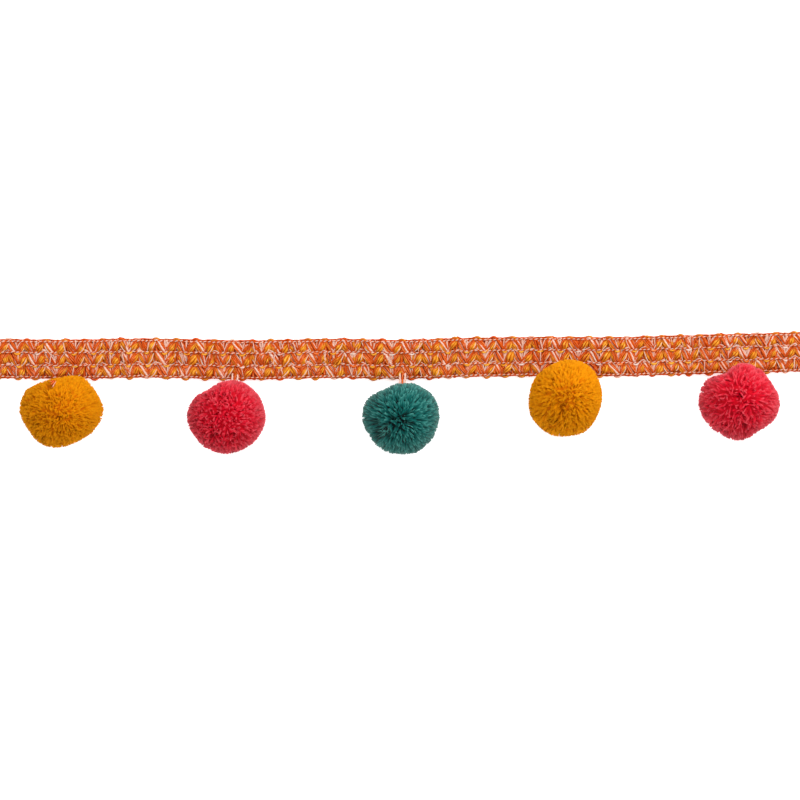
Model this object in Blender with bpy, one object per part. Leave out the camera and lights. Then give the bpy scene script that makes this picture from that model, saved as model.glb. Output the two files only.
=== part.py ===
"""A cut length of pompom trim: a knitted braid band with yarn pompoms tied along one edge.

The length runs along X, the band lies flat on the surface z = 0, and the pompoms rest beside it
on the -Y side. Units are metres. The root empty puts the middle of the part's box at X = Y = 0.
"""

import math

import bmesh
import bpy
import numpy as np
from mathutils import Vector

MM = 0.001

# Band
TRIM_LENGTH = 330 * MM
BAND_WIDTH = 15.6 * MM
TIERS = 3                       # rows of zigzag stitches across the band
STITCHES = 45                   # zigzags along each tier
STITCH_COLUMNS = 6              # grid columns in one zigzag: three up, three down
TIER_ROWS = STITCH_COLUMNS // 2  # grid rows in one tier
CREST_HEIGHT = 2.6 * MM         # top of a raised stitch
CHAIN_HEIGHT = 1.95 * MM        # chain line between two tiers
HOLLOW_HEIGHT = 1.4 * MM        # between the stitches
EDGE_DROP = 0.6 * MM            # how much lower the band is along its two edges
SHARP_ANGLE = math.radians(40)  # steeper folds of a mesh are shaded as edges
LOOP_REACH = 0.45 * MM          # how far an edge loop stands out
EDGE_SWAY = 0.15 * MM           # unevenness of the edges

# The band's middle line drifts gently to and fro along its length.
DRIFT_COLUMNS = ("x", "y")
DRIFT_STATIONS_MM = (
    (-165, -0.4),
    (-133, -0.8),
    (-102, -0.3),
    (-59, -1.05),
    (-24, -0.4),
    (0, -0.9),
    (27, 0.0),
    (54, 0.35),
    (85, 0.25),
    (109, 0.9),
    (132, 1.55),
    (165, 2.3),
)

# Pompoms: where each one's middle lies, and how far its tips reach from there seen from above,
# in eight compass directions (+X is east, +Y is north, towards the band).
CORE_RADIUS = 8.5 * MM
CORE_HEIGHT = 13.4 * MM         # middle of the pompom above the surface
REACH_UP = 15.0 * MM
LOCK_GRID = 3                   # locks along each side of the core's six faces
LOCK_GAP = 0.5 * MM             # between neighbouring locks at their roots
LOCK_DRAW_IN = 0.07             # share by which a lock's shoulders draw in to its own axis
LOCK_CROWN = 1.1 * MM           # height of a lock's peaked tip
LOCK_UNEVEN = 0.35 * MM         # how much the locks' lengths differ
BAND_CLEARANCE = 0.6 * MM       # locks above the band stay this far off it
COMPASS = ("east", "north_east", "north", "north_west", "west", "south_west", "south", "south_east")
POMPOM_COLUMNS = ("name", "yarn", "x", "y", "tie_x", "spin_deg") + COMPASS
POMPOMS_MM = (
    ("mustard_left", "mustard", -132.2, -21.3, -133.6, 20,
     16.2, 15.2, 14.1, 15.4, 16.8, 15.2, 14.0, 13.4),
    ("pink_left", "pink", -68.1, -23.3, -65.0, 55,
     15.6, 15.5, 14.6, 14.6, 15.7, 14.6, 14.5, 14.4),
    ("teal", "teal", -0.2, -23.9, 0.6, 5,
     15.2, 15.3, 14.1, 15.0, 15.3, 14.6, 14.3, 14.1),
    ("mustard_right", "mustard", 64.0, -15.7, 63.6, 35,
     14.6, 14.7, 15.2, 14.1, 14.8, 15.4, 15.2, 15.0),
    ("pink_right", "pink", 131.8, -17.2, 132.0, 70,
     16.4, 15.0, 15.2, 15.2, 16.5, 14.8, 15.3, 14.4),
)

# Ties
TIE_RADIUS = 0.6 * MM
TIE_HEIGHT = 1.0 * MM           # above the surface, where it leaves the band's edge
SEAT_GAP = 0.35 * MM            # between a tie and what it meets
TIE_POINTS = 9

COLOURS = {                     # base colour and roughness
    "band": ((0.72, 0.15, 0.03), 0.8),
    "mustard": ((0.74, 0.28, 0.005), 0.9),
    "pink": ((0.68, 0.045, 0.07), 0.9),
    "teal": ((0.02, 0.14, 0.13), 0.9),
    "tie": ((0.75, 0.2, 0.1), 0.8),
}


def rows_of(columns, table):
    return [dict(zip(columns, row)) for row in table]


def clear_scene():
    for old in list(bpy.data.objects):
        bpy.data.objects.remove(old, do_unlink=True)


def make_material(name):
    colour, roughness = COLOURS[name]
    material = bpy.data.materials.new(name)
    material.use_nodes = True
    shader = material.node_tree.nodes["Principled BSDF"]
    shader.inputs["Base Color"].default_value = (*colour, 1.0)
    shader.inputs["Roughness"].default_value = roughness
    shader.inputs["Metallic"].default_value = 0.0
    return material


def add_object(name, data, material, collection, parent):
    new = bpy.data.objects.new(name, data)
    data.materials.append(material)
    new.parent = parent
    collection.objects.link(new)
    return new


# ---- Band ----------------------------------------------------------------------------------

def middle_line(x):
    """The band's middle line: a smooth curve through the drift stations."""
    stations = [(row["x"] * MM, row["y"] * MM) for row in rows_of(DRIFT_COLUMNS, DRIFT_STATIONS_MM)]
    for (x0, y0), (x1, y1) in zip(stations, stations[1:]):
        if x <= x1:
            share = max(0.0, (x - x0) / (x1 - x0))
            ease = share * share * (3 - 2 * share)
            return y0 + (y1 - y0) * ease
    return stations[-1][1]


def edge_reach(x, side):
    """How far an edge lies from the middle line: half the width, plus a loop at each stitch's
    apex on the +Y side or foot on the -Y side, plus a slow unevenness."""
    turn = 2 * math.pi * (x + TRIM_LENGTH / 2) / (TRIM_LENGTH / STITCHES)
    loop = max(0.0, -side * math.cos(turn))
    sway = 0.6 * math.sin(410 * x + side) + 0.4 * math.sin(977 * x - 2 * side)
    return BAND_WIDTH / 2 + LOOP_REACH * loop + EDGE_SWAY * sway


def is_crest(column, row):
    """Whether a grid point lies on a zigzag: up from the foot, over the apex and down again."""
    phase = column % STITCH_COLUMNS
    rise = row % TIER_ROWS
    on_tier_line = rise == 0
    apex_of_tier_below = on_tier_line and row > 0 and phase == TIER_ROWS
    foot_or_leg = row < TIERS * TIER_ROWS and phase in (rise, (STITCH_COLUMNS - rise) % STITCH_COLUMNS)
    return apex_of_tier_below or foot_or_leg


def top_height(column, row):
    last_row = TIERS * TIER_ROWS
    if is_crest(column, row):
        height = CREST_HEIGHT
    elif row % TIER_ROWS == 0:
        height = CHAIN_HEIGHT
    else:
        height = HOLLOW_HEIGHT
    return height - (EDGE_DROP if row in (0, last_row) else 0.0)


def make_band(material, collection, parent):
    """A grid with its stitches raised, its rim drawn down to the surface and closed flat."""
    columns = STITCHES * STITCH_COLUMNS
    rows = TIERS * TIER_ROWS
    bm = bmesh.new()
    bmesh.ops.create_grid(bm, x_segments=columns, y_segments=rows, size=0.5)
    place = {}
    for vert in bm.verts:
        column = round((vert.co.x + 0.5) * columns)
        row = round((vert.co.y + 0.5) * rows)
        place[vert] = (column, row)
        x = TRIM_LENGTH * (column / columns - 0.5)
        across = 2 * row / rows - 1
        reach = edge_reach(x, 1 if across > 0 else -1)
        vert.co = (x, middle_line(x) + across * reach, top_height(column, row))

    # Each square is split along the stitch leg beside it, so that the ridges run straight.
    for face in list(bm.faces):
        left = min(place[vert][0] for vert in face.verts)
        low = min(place[vert][1] for vert in face.verts)
        rising = left % STITCH_COLUMNS < STITCH_COLUMNS // 2
        ends = ((left, low), (left + 1, low + 1)) if rising else ((left, low + 1), (left + 1, low))
        first, second = [vert for vert in face.verts if place[vert] in ends]
        bmesh.utils.face_split(face, first, second)

    rim = [edge for edge in bm.edges if edge.is_boundary]
    walls = bmesh.ops.extrude_edge_only(bm, edges=rim)["geom"]
    foot = [item for item in walls if isinstance(item, bmesh.types.BMVert)]
    for vert in foot:
        vert.co.z = 0.0
    foot_edges = [edge for edge in bm.edges if edge.is_boundary]
    bmesh.ops.contextual_create(bm, geom=foot_edges)
    bmesh.ops.recalc_face_normals(bm, faces=bm.faces)

    mesh = bpy.data.meshes.new("band")
    bm.to_mesh(mesh)
    bm.free()
    mesh.shade_smooth()
    mesh.set_sharp_from_angle(angle=SHARP_ANGLE)
    return add_object("band", mesh, material, collection, parent)


def lower_edge(x):
    """The lowest y of the band's edge within a tie's width of x."""
    nearby = np.linspace(x - 1.5 * TIE_RADIUS, x + 1.5 * TIE_RADIUS, 13)
    return min(middle_line(float(at)) - edge_reach(float(at), -1) for at in nearby)


# ---- Pompoms -------------------------------------------------------------------------------

def side_reach(pompom, direction):
    """How far the tips reach sideways: the compass reaches, joined by a smooth closed curve."""
    turn = (math.atan2(direction.y, direction.x) / math.tau) % 1.0 * len(COMPASS)
    start = int(turn)
    share = turn - start
    ease = share * share * (3 - 2 * share)
    this = pompom[COMPASS[start % len(COMPASS)]] * MM
    after = pompom[COMPASS[(start + 1) % len(COMPASS)]] * MM
    return this + (after - this) * ease


def tip_reach(pompom, direction):
    """The tips lie on an ellipsoid whose level outline is the compass curve."""
    level = math.hypot(direction.x, direction.y)
    side = side_reach(pompom, direction)
    return 1 / math.sqrt((level / side) ** 2 + (direction.z / REACH_UP) ** 2)


def room_along(pompom, direction):
    """How far a lock may run before it meets the surface, or the band's top or side."""
    room = math.inf
    if direction.z < 0:
        room = CORE_HEIGHT / -direction.z
    if direction.z < 0 and direction.y > 0:
        to_top = (CORE_HEIGHT - CREST_HEIGHT - BAND_CLEARANCE) / -direction.z
        band_side = lower_edge(pompom["x"] * MM) - BAND_CLEARANCE
        to_side = (band_side - pompom["y"] * MM) / direction.y
        room = min(room, max(to_top, to_side))
    return room


def make_pompom(pompom, tie_direction, material, collection, parent):
    """A core from a cube rounded to a ball; every face of its grid grows one lock. The lock
    that would stand where the tie comes in is left out."""
    bm = bmesh.new()
    bmesh.ops.create_cube(bm, size=2)
    bmesh.ops.subdivide_edges(bm, edges=bm.edges, cuts=LOCK_GRID - 1, use_grid_fill=True)
    turned = tie_direction.to_track_quat("Z", "Y").to_matrix()
    spin = math.radians(pompom["spin_deg"])
    for vert in bm.verts:
        even = Vector([math.tan(value * math.pi / 4) for value in vert.co]).normalized()
        spun = Vector((
            even.x * math.cos(spin) - even.y * math.sin(spin),
            even.x * math.sin(spin) + even.y * math.cos(spin),
            even.z,
        ))
        vert.co = turned @ spun * CORE_RADIUS
    bm.normal_update()

    tie_seat = max(bm.faces, key=lambda face: face.calc_center_median().dot(tie_direction))
    roots = [face for face in bm.faces if face is not tie_seat]
    bmesh.ops.inset_individual(bm, faces=roots, thickness=LOCK_GAP / 2, use_even_offset=True)
    locks = bmesh.ops.extrude_discrete_faces(bm, faces=roots)["faces"]
    for number, lock in enumerate(locks):
        longer = LOCK_UNEVEN * math.sin(2.4 * number + pompom["spin_deg"])
        axis = lock.calc_center_median().normalized()
        for vert in lock.verts:
            direction = vert.co.normalized().lerp(axis, LOCK_DRAW_IN).normalized()
            shoulder = tip_reach(pompom, direction) - LOCK_CROWN + longer
            vert.co = direction * min(shoulder, room_along(pompom, direction))
        crown = tip_reach(pompom, axis) + longer
        top = bmesh.ops.poke(bm, faces=[lock])["verts"][0]
        top.co = axis * min(crown, room_along(pompom, axis))
    bmesh.ops.recalc_face_normals(bm, faces=bm.faces)

    name = "pompom_" + pompom["name"]
    mesh = bpy.data.meshes.new(name)
    bm.to_mesh(mesh)
    bm.free()
    ball = add_object(name, mesh, material, collection, parent)
    ball.location = (pompom["x"] * MM, pompom["y"] * MM, CORE_HEIGHT)
    return ball


# ---- Ties ----------------------------------------------------------------------------------

def tie_start(pompom):
    x = pompom["tie_x"] * MM
    return Vector((x, lower_edge(x) - SEAT_GAP, TIE_HEIGHT))


def make_tie(pompom, tie_direction, material, collection, parent):
    """A thread out of the band's edge, bending up into the pompom as far as its core."""
    start = tie_start(pompom)
    middle = Vector((pompom["x"] * MM, pompom["y"] * MM, CORE_HEIGHT))
    end = middle + tie_direction * (CORE_RADIUS + SEAT_GAP)
    span = (start - end).length
    leave = start - Vector((0, span / 3, 0))
    arrive = end + tie_direction * (span / 3)

    curve = bpy.data.curves.new("tie_" + pompom["name"], "CURVE")
    curve.dimensions = "3D"
    curve.bevel_depth = TIE_RADIUS
    curve.bevel_resolution = 2
    curve.use_fill_caps = True
    spline = curve.splines.new("POLY")
    spline.points.add(TIE_POINTS - 1)
    for number, point in enumerate(spline.points):
        t = number / (TIE_POINTS - 1)
        place = (start * (1 - t) ** 3 + leave * 3 * t * (1 - t) ** 2
                 + arrive * 3 * t ** 2 * (1 - t) + end * t ** 3)
        point.co = (*place, 1.0)
    return add_object("tie_" + pompom["name"], curve, material, collection, parent)


# ---- Assembly ------------------------------------------------------------------------------

def centre_on_origin(root, outer):
    """Moves the root so that the box around the outer pieces stands in the middle of the surface."""
    bpy.context.view_layer.update()
    corners = [item.matrix_world @ Vector(corner) for item in outer for corner in item.bound_box]
    low_x, high_x = min(corner.x for corner in corners), max(corner.x for corner in corners)
    low_y, high_y = min(corner.y for corner in corners), max(corner.y for corner in corners)
    root.location = (-(low_x + high_x) / 2, -(low_y + high_y) / 2, 0)


def build():
    clear_scene()
    collection = bpy.data.collections.new("pompom_trim")
    bpy.context.scene.collection.children.link(collection)
    root = bpy.data.objects.new("trim_root", None)
    collection.objects.link(root)
    materials = {name: make_material(name) for name in COLOURS}

    outer = [make_band(materials["band"], collection, root)]
    for pompom in rows_of(POMPOM_COLUMNS, POMPOMS_MM):
        middle = Vector((pompom["x"] * MM, pompom["y"] * MM, CORE_HEIGHT))
        tie_direction = (tie_start(pompom) - middle).normalized()
        yarn = materials[pompom["yarn"]]
        outer.append(make_pompom(pompom, tie_direction, yarn, collection, root))
        make_tie(pompom, tie_direction, materials["tie"], collection, root)
    centre_on_origin(root, outer)


build()
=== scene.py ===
import math

import bpy
import numpy as np
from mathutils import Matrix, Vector


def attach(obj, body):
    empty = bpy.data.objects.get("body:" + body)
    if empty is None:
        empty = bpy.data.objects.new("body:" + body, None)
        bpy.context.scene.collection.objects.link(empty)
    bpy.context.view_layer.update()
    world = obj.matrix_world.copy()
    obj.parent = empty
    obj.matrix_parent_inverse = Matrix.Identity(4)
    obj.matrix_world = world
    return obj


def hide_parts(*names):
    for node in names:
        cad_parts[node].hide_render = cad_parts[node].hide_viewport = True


# A cut length of pompom trim: a knitted braid band of thin yarns, with five cut-yarn pompoms tied
# along its lower edge. Lengths below are in millimetres and turn into metres with mm.

mm = 0.001
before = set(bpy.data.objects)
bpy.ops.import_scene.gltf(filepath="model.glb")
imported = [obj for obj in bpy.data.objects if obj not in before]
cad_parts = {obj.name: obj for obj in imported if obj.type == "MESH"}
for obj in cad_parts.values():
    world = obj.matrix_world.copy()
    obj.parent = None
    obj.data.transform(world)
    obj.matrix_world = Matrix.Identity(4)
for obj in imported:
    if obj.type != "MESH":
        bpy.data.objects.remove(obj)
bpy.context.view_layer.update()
rng = np.random.default_rng(11)


# Small sums on whole arrays

def unit(vectors):
    return vectors / np.maximum(np.linalg.norm(vectors, axis=-1, keepdims=True), 1e-12)


def smooth(low, high, value):  # 0 below low, 1 above high, an S between
    share = np.clip((value - low) / (high - low), 0, 1)
    return share * share * (3 - 2 * share)


def wander(along, wave, seed):  # slow unevenness about -1 to 1: three sines of unlike lengths
    a, b, c = np.random.default_rng(seed).uniform(0, 2 * math.pi, 3)
    turn = 2 * math.pi * along / wave
    return 0.5 * np.sin(turn + a) + 0.3 * np.sin(1.73 * turn + b) + 0.2 * np.sin(3.1 * turn + c)


# Meshes

def cells(count, perCell):
    # Where each of count items lies on the unit map: rows of cells, each perCell faces tall and one long
    across = max(1, round(math.sqrt(count * perCell)))
    down = math.ceil(count / across)
    item = np.arange(count)
    return item % across / across, item // across / down, 1 / across, 1 / down


def fanned(pole, first, second):  # a triangle from one pole to each of a ring's edges
    return np.stack([np.full(len(first), pole), first, second], 1)


def halved(a, b, c, d):  # two triangles for each four-cornered face
    return np.stack([np.stack([a, b, c], -1), np.stack([a, c, d], -1)], -2)


def tubeFaces(rings, sides):
    # One tube's triangles: its rings' points in order, then the root and the far end
    here = np.arange(sides)
    after = (here + 1) % sides
    gap = np.arange(rings - 1)[:, None] * sides
    last = (rings - 1) * sides
    return np.concatenate([
        halved(gap + here, gap + after, gap + sides + after, gap + sides + here).reshape(-1, 3),
        fanned(rings * sides, after, here),
        fanned(rings * sides + 1, last + here, last + after),
    ])


def tubeMap(rings, sides):
    # For each corner of those triangles its place around, 0 to 1, and whether it is on the face's
    # farther ring; for each triangle the gap between rings that it lies in
    low = np.arange(sides) / sides
    high = (np.arange(sides) + 1) / sides
    whole = (rings - 1, sides, 2, 3)
    fanAround = np.stack([(low + high) / 2, low, high], 1)
    fanUp = np.broadcast_to(np.array([1.0, 0, 0]), (sides, 3))
    around = np.broadcast_to(halved(low, high, high, low), whole).reshape(-1, 3)
    up = np.broadcast_to(np.array([[0, 0, 1], [0, 1, 1]]), whole).reshape(-1, 3)
    between = np.repeat(np.arange(rings - 1), sides * 2)
    return (
        np.concatenate([around, fanAround, fanAround]),
        np.concatenate([up, fanUp, fanUp]),
        np.concatenate([between, np.full(sides, rings - 1), np.full(sides, rings)]),
    )


def tubes(paths, radii, sides, flat=1.0, guide=(0, 0, 1), tone=0.5, tip=1.0, depth=0.5, ends=None):
    # Tubes along many paths at once: point = path + radius * (cos a * side + flat * sin a * top),
    # closed at the root by a fan and at the far end by a point tip radii beyond the path. ends
    # gives the two closing points of each tube instead. depth: one value for each ring.
    count, rings = radii.shape
    tangent = unit(np.gradient(paths, axis=1))
    side = unit(np.cross(tangent, guide))
    top = np.cross(tangent, side)
    angle = 2 * math.pi * np.arange(sides) / sides
    turn = np.cos(angle)[:, None] * side[:, :, None] + flat * np.sin(angle)[:, None] * top[:, :, None]
    ring = paths[:, :, None] + radii[:, :, None, None] * turn
    root = paths[:, :1]
    end = paths[:, -1:] + tangent[:, -1:] * radii[:, -1:, None] * tip
    if ends is not None:
        root, end = ends[:, :1], ends[:, 1:]
    points = np.concatenate([ring.reshape(count, rings * sides, 3), root, end], 1)
    each = rings * sides + 2
    triangles = (np.arange(count)[:, None, None] * each + tubeFaces(rings, sides)).reshape(-1, 3)

    around, up, gap = tubeMap(rings, sides)
    x, y, wide, tall = cells(count * (rings + 1), sides)
    cell = (np.arange(count)[:, None] * (rings + 1) + gap).reshape(-1)
    bake = np.stack([
        x[cell][:, None] + wide * np.tile(up, (count, 1)),
        y[cell][:, None] + tall * np.tile(around, (count, 1)),
    ], -1)

    # The twist map: place around, and the length along the path in mm
    steps = np.linalg.norm(np.diff(paths, axis=1), axis=2) / mm
    along = np.concatenate([np.zeros((count, 1)), np.cumsum(steps, 1)], 1)
    span = np.concatenate([np.repeat(along, sides, 1), along[:, :1], along[:, -1:]], 1)
    twist = np.stack([np.tile(around, (count, 1)), span.reshape(-1)[triangles]], -1)

    leave = np.concatenate([turn.reshape(count, rings * sides, 3), -tangent[:, :1], tangent[:, -1:]], 1)
    share = np.broadcast_to(depth, (rings,))
    shares = np.concatenate([np.repeat(share, sides), share[[0, -1]] if ends is None else [0, 1]])
    return {
        "points": points.reshape(-1, 3),
        "triangles": triangles,
        "bake": bake,
        "twist": twist,
        "depth": np.tile(shares, count),
        "tone": np.repeat(np.broadcast_to(tone, (count,)), each),
        "normals": leave.reshape(-1, 3),
    }


def ball(rows, columns):
    # A unit sphere's grid: polar angle down the rows, azimuth along the columns, a point at each pole
    polar = math.pi * (np.arange(rows) + 1) / (rows + 1)
    azimuth = 2 * math.pi * np.arange(columns) / columns
    ring = np.stack(np.broadcast_arrays(
        np.sin(polar)[:, None] * np.cos(azimuth),
        np.sin(polar)[:, None] * np.sin(azimuth),
        np.cos(polar)[:, None],
    ), -1).reshape(-1, 3)
    points = np.concatenate([ring, [[0, 0, 1]], [[0, 0, -1]]])
    here = np.arange(columns)
    after = (here + 1) % columns
    row = np.arange(rows - 1)[:, None] * columns
    last = (rows - 1) * columns
    triangles = np.concatenate([
        halved(row + here, row + columns + here, row + columns + after, row + after).reshape(-1, 3),
        fanned(rows * columns, here, after),
        fanned(rows * columns + 1, last + after, last + here),
    ])

    left, right = here / columns, (here + 1) / columns
    level = (np.arange(rows) + 1) / (rows + 1)
    high, low = level[:-1, None], level[1:, None]
    whole = (rows - 1, columns, 2, 3)
    u = np.concatenate([
        np.broadcast_to(halved(left, left, right, right), whole).reshape(-1, 3),
        np.stack([(left + right) / 2, left, right], 1),
        np.stack([(left + right) / 2, right, left], 1),
    ])
    v = np.concatenate([
        np.broadcast_to(halved(high, low, low, high), whole).reshape(-1, 3),
        np.broadcast_to([0, level[0], level[0]], (columns, 3)),
        np.broadcast_to([1, level[-1], level[-1]], (columns, 3)),
    ])
    bake = np.stack([u, v], -1)
    still = np.zeros(len(points))
    return {
        "points": points, "triangles": triangles, "bake": bake, "twist": bake,
        "depth": still, "tone": still, "normals": unit(points),
    }


def addPiece(name, parts, material, replaced=(), soften=None):
    # Joins the parts in one mesh. Each part's map is squeezed into its own strip of OFBake, as
    # tall as its share of the faces. soften: a middle and a share by which the shading turns
    # from each strand's own side to the direction away from that middle.
    points = np.concatenate([part["points"] for part in parts])
    shift = np.cumsum([0] + [len(part["points"]) for part in parts])
    triangles = np.concatenate([part["triangles"] + start for part, start in zip(parts, shift)])
    share = np.sqrt([len(part["triangles"]) for part in parts])
    edges = np.concatenate([[0], np.cumsum(share / share.sum())])
    bake = np.concatenate([
        part["bake"] * (1, high - low) + (0, low) for part, low, high in zip(parts, edges, edges[1:])
    ])
    mesh = bpy.data.meshes.new(name)
    mesh.vertices.add(len(points))
    mesh.loops.add(3 * len(triangles))
    mesh.polygons.add(len(triangles))
    mesh.vertices.foreach_set("co", points.astype(np.float32).ravel())
    mesh.loops.foreach_set("vertex_index", triangles.astype(np.int32).ravel())
    mesh.polygons.foreach_set("loop_start", np.arange(0, 3 * len(triangles), 3, dtype=np.int32))
    mesh.update(calc_edges=True)
    maps = (("OFBake", bake), ("twist", np.concatenate([part["twist"] for part in parts])))
    for layer, places in maps:
        corners = mesh.uv_layers.new(name=layer, do_init=False)
        corners.uv.foreach_set("vector", places.astype(np.float32).ravel())
    for layer in ("depth", "tone"):
        values = np.concatenate([part[layer] for part in parts])
        mesh.attributes.new(layer, "FLOAT", "POINT").data.foreach_set("value", values.astype(np.float32))
    mesh.shade_smooth()
    if soften:
        middle, share = soften
        own = np.concatenate([part["normals"] for part in parts])
        mesh.normals_split_custom_set_from_vertices(unit(own * (1 - share) + unit(points - middle) * share))
    mesh.materials.append(material)
    piece = bpy.data.objects.new(name, mesh)
    bpy.context.scene.collection.objects.link(piece)
    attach(piece, "root")
    if replaced:
        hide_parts(*replaced)
    print(name, len(triangles), "triangles")
    return piece


# Materials

class Wire:  # a node's output, on which sums are written as they are on numbers
    def __init__(self, kit, socket):
        self.kit, self.socket = kit, socket

    def sum(self, operation, *values):
        return self.kit.node("Math", {"operation": operation}, dict(enumerate(values)))

    def __add__(self, other):
        return self.sum("ADD", self, other)

    def __radd__(self, other):
        return self.sum("ADD", other, self)

    def __sub__(self, other):
        return self.sum("SUBTRACT", self, other)

    def __rsub__(self, other):
        return self.sum("SUBTRACT", other, self)

    def __mul__(self, other):
        return self.sum("MULTIPLY", self, other)

    def __rmul__(self, other):
        return self.sum("MULTIPLY", other, self)

    def __pow__(self, other):
        return self.sum("POWER", self, other)

    def sine(self):
        return self.sum("SINE", self)

    def held(self):  # between 0 and 1
        return self.kit.node("Clamp", {}, {0: self})


class Finish:  # one material; node() adds any node to it
    def __init__(self, name, fixed):
        self.material = bpy.data.materials.new(name)
        self.material.use_nodes = True
        self.tree = self.material.node_tree
        self.shader = self.tree.nodes["Principled BSDF"]
        for socket, value in fixed.items():
            self.shader.inputs[socket].default_value = value

    def node(self, kind, settings, values, output=0):
        made = self.tree.nodes.new("ShaderNode" + kind)
        for setting, value in settings.items():
            setattr(made, setting, value)
        for socket, value in values.items():
            self.feed(made.inputs[socket], value)
        return Wire(self, made.outputs[output])

    def feed(self, socket, value):
        if isinstance(value, Wire):
            self.tree.links.new(value.socket, socket)
        else:
            socket.default_value = value

    def give(self, socket, value):
        self.feed(self.shader.inputs[socket], value)

    def attribute(self, name):
        return self.node("Attribute", {"attribute_name": name}, {}, 2)

    def mix(self, share, first, second):
        colours = {0: share, 6: first, 7: second}
        return self.node("Mix", {"data_type": "RGBA"}, colours, 2)


def colour(red, green, blue):  # screen values 0 to 255 as a linear colour
    share = np.array([red, green, blue]) / 255
    linear = np.where(share <= 0.04045, share / 12.92, ((share + 0.055) / 1.055) ** 2.4)
    return (*(float(value) for value in linear), 1.0)


# root: painted shade, deep between the locks; body: a lock's side; tip: its cut end, paler by painted
# sheen; haze and sheen: the light that its hairs catch; soften: how far the shading follows the whole
# ball and not the single hair
pileLooks = {
    "mustard": {
        "root": (208, 112, 0), "body": (242, 143, 0), "tip": (248, 172, 18),
        "haze": (255, 200, 90), "sheen": 0.0, "fleck": 0.32, "tipSheen": 0.34, "soften": 0.88,
    },
    "pink": {
        "root": (206, 0, 27), "body": (234, 2, 42), "tip": (250, 90, 104),
        "haze": (255, 160, 165), "sheen": 0.62, "fleck": 0.85, "tipSheen": 0.29, "soften": 0.8,
    },
    "teal": {
        "root": (0, 10, 14), "body": (0, 96, 91), "tip": (78, 160, 150),
        "haze": (230, 212, 204), "sheen": 0.32, "fleck": 1.15, "tipSheen": 0.06, "soften": 0.6,
    },
}
pileSurface = {
    "rough": 0.85,
    "gloss": 0.06,
    "hairScale": 5200.0,
    "hairDeep": 0.06,      # mm
}


def pileFinish(yarn):
    # Cut acrylic yarn: dark roots, which are painted shade between the locks, full colour along a lock
    # and a paler end, which is painted sheen. The yarn's look sets how pale the ends are, and fleck how
    # far the single hairs differ, some darker and others paler at the end.
    look = pileLooks[yarn]
    kit = Finish("pile_" + yarn, {
        "Roughness": pileSurface["rough"],
        "Sheen Weight": look["sheen"],
        "Sheen Roughness": 0.5,
        "Sheen Tint": colour(*look["haze"]),
        "Specular IOR Level": pileSurface["gloss"],
    })
    depth, tone, fleck = kit.attribute("depth"), kit.attribute("tone"), look["fleck"]
    # tone is random for each hair, and lower in the gaps and at the outer hairs of each end as painted shade;
    # a low tone turns a hair to the root colour
    darker = ((0.42 - tone) * 1.9).held() * fleck
    lit = kit.mix((depth * 1.75 - 0.22 - darker).held(), colour(*look["root"]), colour(*look["body"]))
    # the ends grow paler towards the tip as painted sheen, spread from hair to hair by fleck
    sheenAndFleck = ((depth - 0.6) * 2.6 * (look["tipSheen"] + fleck * (tone * 2.1 - 0.95))).held()
    kit.give("Base Color", kit.mix(sheenAndFleck, lit, colour(*look["tip"])))
    place = kit.node("TexCoord", {}, {}, 3)
    hair = kit.node("TexNoise", {}, {"Vector": place, "Scale": pileSurface["hairScale"], "Detail": 2.0})
    deep = pileSurface["hairDeep"] * mm
    kit.give("Normal", kit.node("Bump", {}, {"Strength": 0.5, "Distance": deep, "Height": hair}))
    return kit.material


# shade: painted shade in the grooves and down the sides; body; lit: a painted highlight on the back;
# edge, rope and grain: how much the painted shade down the sides, the plies and the single fibres
# show; pitch: the length in mm in which the plies turn once
yarnLooks = {
    "mustard": {
        "shade": (164, 66, 0), "body": (230, 138, 10), "lit": (255, 206, 80), "rough": 0.45,
        "gloss": 0.25, "edge": 0.6, "rope": 0.1, "grain": 3.2, "plies": 2, "pitch": 3.4,
    },
    "coral": {
        "shade": (174, 45, 4), "body": (224, 95, 20), "lit": (250, 172, 116), "rough": 0.8,
        "gloss": 0.1, "edge": 0.6, "rope": 0.1, "grain": 2.4, "plies": 2, "pitch": 1.6,
    },
    "pale": {
        "shade": (210, 130, 98), "body": (243, 206, 188), "lit": (254, 238, 228), "rough": 0.7,
        "gloss": 0.15, "edge": 0.45, "rope": 0.2, "grain": 0.8, "plies": 2, "pitch": 1.3,
    },
    "blush": {
        "shade": (180, 84, 52), "body": (224, 152, 120), "lit": (244, 196, 174), "rough": 0.8,
        "gloss": 0.1, "edge": 0.7, "rope": 0.2, "grain": 0.9, "plies": 2, "pitch": 2.2,
    },
}
yarnSurface = {
    "fibres": (9.0, 0.7, 1.0),     # scale of the fibres' noise around a yarn and along it
    "grooveDeep": 0.12,            # mm
}


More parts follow.
